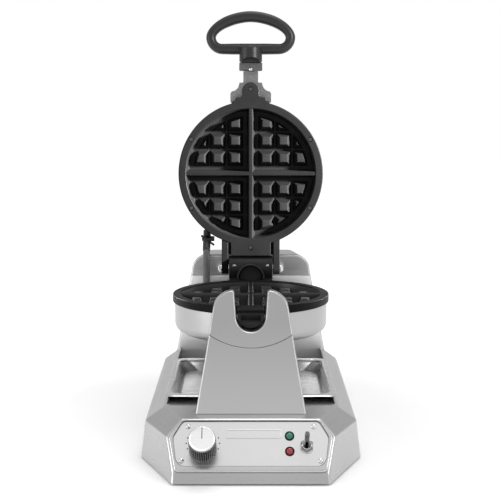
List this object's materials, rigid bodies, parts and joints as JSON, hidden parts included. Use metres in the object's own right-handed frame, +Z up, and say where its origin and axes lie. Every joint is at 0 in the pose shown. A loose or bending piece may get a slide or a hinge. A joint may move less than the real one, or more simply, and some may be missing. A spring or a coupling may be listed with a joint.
{
  "type": "rotary waffle maker",
  "caption": "Counter-top rotary waffle maker: two round hinged irons on a flip axis between a notched front post and a rear tower, over a drip tray and a sloped control panel.",
  "frame": {"origin": "centre of the bounding box, on the surface that the feet stand on", "axes": "+Z up, front (control panel) towards -Y, +X to the right seen from the front"},
  "size_m": [0.2536, 0.4822, 0.5315],
  "materials": {
    "brushed_steel": "fine linear brushing, satin",
    "bright_steel": "bright polished stainless steel",
    "satin_plate": "satin anodised",
    "cast_plate": "cast, black non-stick coating",
    "clamp_grey": "dark grey cast",
    "phenolic": "moulded phenolic, semi-matte",
    "rubber": "matte",
    "heater_sheath": "heat-darkened sheath",
    "sleeve": "braided glass-fibre sleeve",
    "bush": "sintered bronze",
    "green_lens": "translucent, glossy",
    "red_lens": "translucent, glossy"
  },
  "bodies": {
    "base": {"base_shell": "brushed_steel", "base_bottom_plate": "brushed_steel", "foot_front_left": "rubber", "foot_front_right": "rubber", "foot_rear_left": "rubber", "foot_rear_right": "rubber", "cord_gland": "rubber", "front_post": "brushed_steel", "front_post_cap": "brushed_steel", "rear_tower": "brushed_steel", "tower_cap": "brushed_steel", "tower_rear_cover": "brushed_steel", "pivot_bush": "bush", "control_panel_frame": "brushed_steel", "control_panel_plate": "satin_plate", "panel_screw_1": "bright_steel", "panel_screw_2": "bright_steel", "panel_screw_3": "bright_steel", "panel_screw_4": "bright_steel", "thermostat_body": "brushed_steel", "toggle_switch_body": "phenolic", "toggle_nut": "bright_steel", "green_lamp": "green_lens", "red_lamp": "red_lens"},
    "tray": {"drip_tray": "bright_steel"},
    "knob": {"thermostat_knob": "phenolic", "knob_face": "satin_plate"},
    "toggle": {"toggle_lever": "bright_steel"},
    "lower_iron": {"lower_plate": "cast_plate", "lower_housing": "bright_steel", "lower_heating_element": "heater_sheath", "hinge_block": "cast_plate", "pivot_shaft": "bright_steel", "shaft_collar": "brushed_steel", "front_journal": "cast_plate", "conduit": "sleeve", "zip_tie": "phenolic"},
    "upper_iron": {"upper_plate": "cast_plate", "upper_housing": "bright_steel", "upper_heating_element": "heater_sheath", "hinge_pin_left": "brushed_steel", "hinge_pin_right": "brushed_steel", "hinge_nut_left": "bright_steel", "hinge_nut_right": "bright_steel", "handle_bracket": "bright_steel", "handle_clamp": "clamp_grey", "clamp_screw": "bright_steel", "handle_grip": "phenolic", "rim_screw_1": "bright_steel", "rim_screw_2": "bright_steel", "rim_screw_3": "bright_steel", "rim_screw_4": "bright_steel", "rim_screw_tab": "bright_steel", "rim_screw_hinge": "bright_steel"}
  },
  "joints": [
    {"name": "iron_flip", "type": "hinge", "parent": "base", "child": "lower_iron", "pos_m": [0, 0.0301, 0.166], "axis": [0, 1, 0], "range_deg": [-22, 22]},
    {"name": "lid_hinge", "type": "hinge", "parent": "lower_iron", "child": "upper_iron", "pos_m": [0, 0.1616, 0.177], "axis": [1, 0, 0], "range_deg": [0, 93], "deforming": ["conduit"]},
    {"name": "thermostat_turn", "type": "hinge", "parent": "base", "child": "knob", "pos_m": [-0.0523, -0.20678, 0.03352], "axis": [0, -0.7826, 0.6225], "range_deg": [-135, 135]},
    {"name": "power_toggle", "type": "hinge", "parent": "base", "child": "toggle", "pos_m": [0.0608, -0.20322, 0.03478], "axis": [1, 0, 0], "range_deg": [0, 32]},
    {"name": "tray_lift", "type": "slide", "parent": "base", "child": "tray", "axis": [0, 0, 1], "range_m": [0, 0.02]}
  ]
}
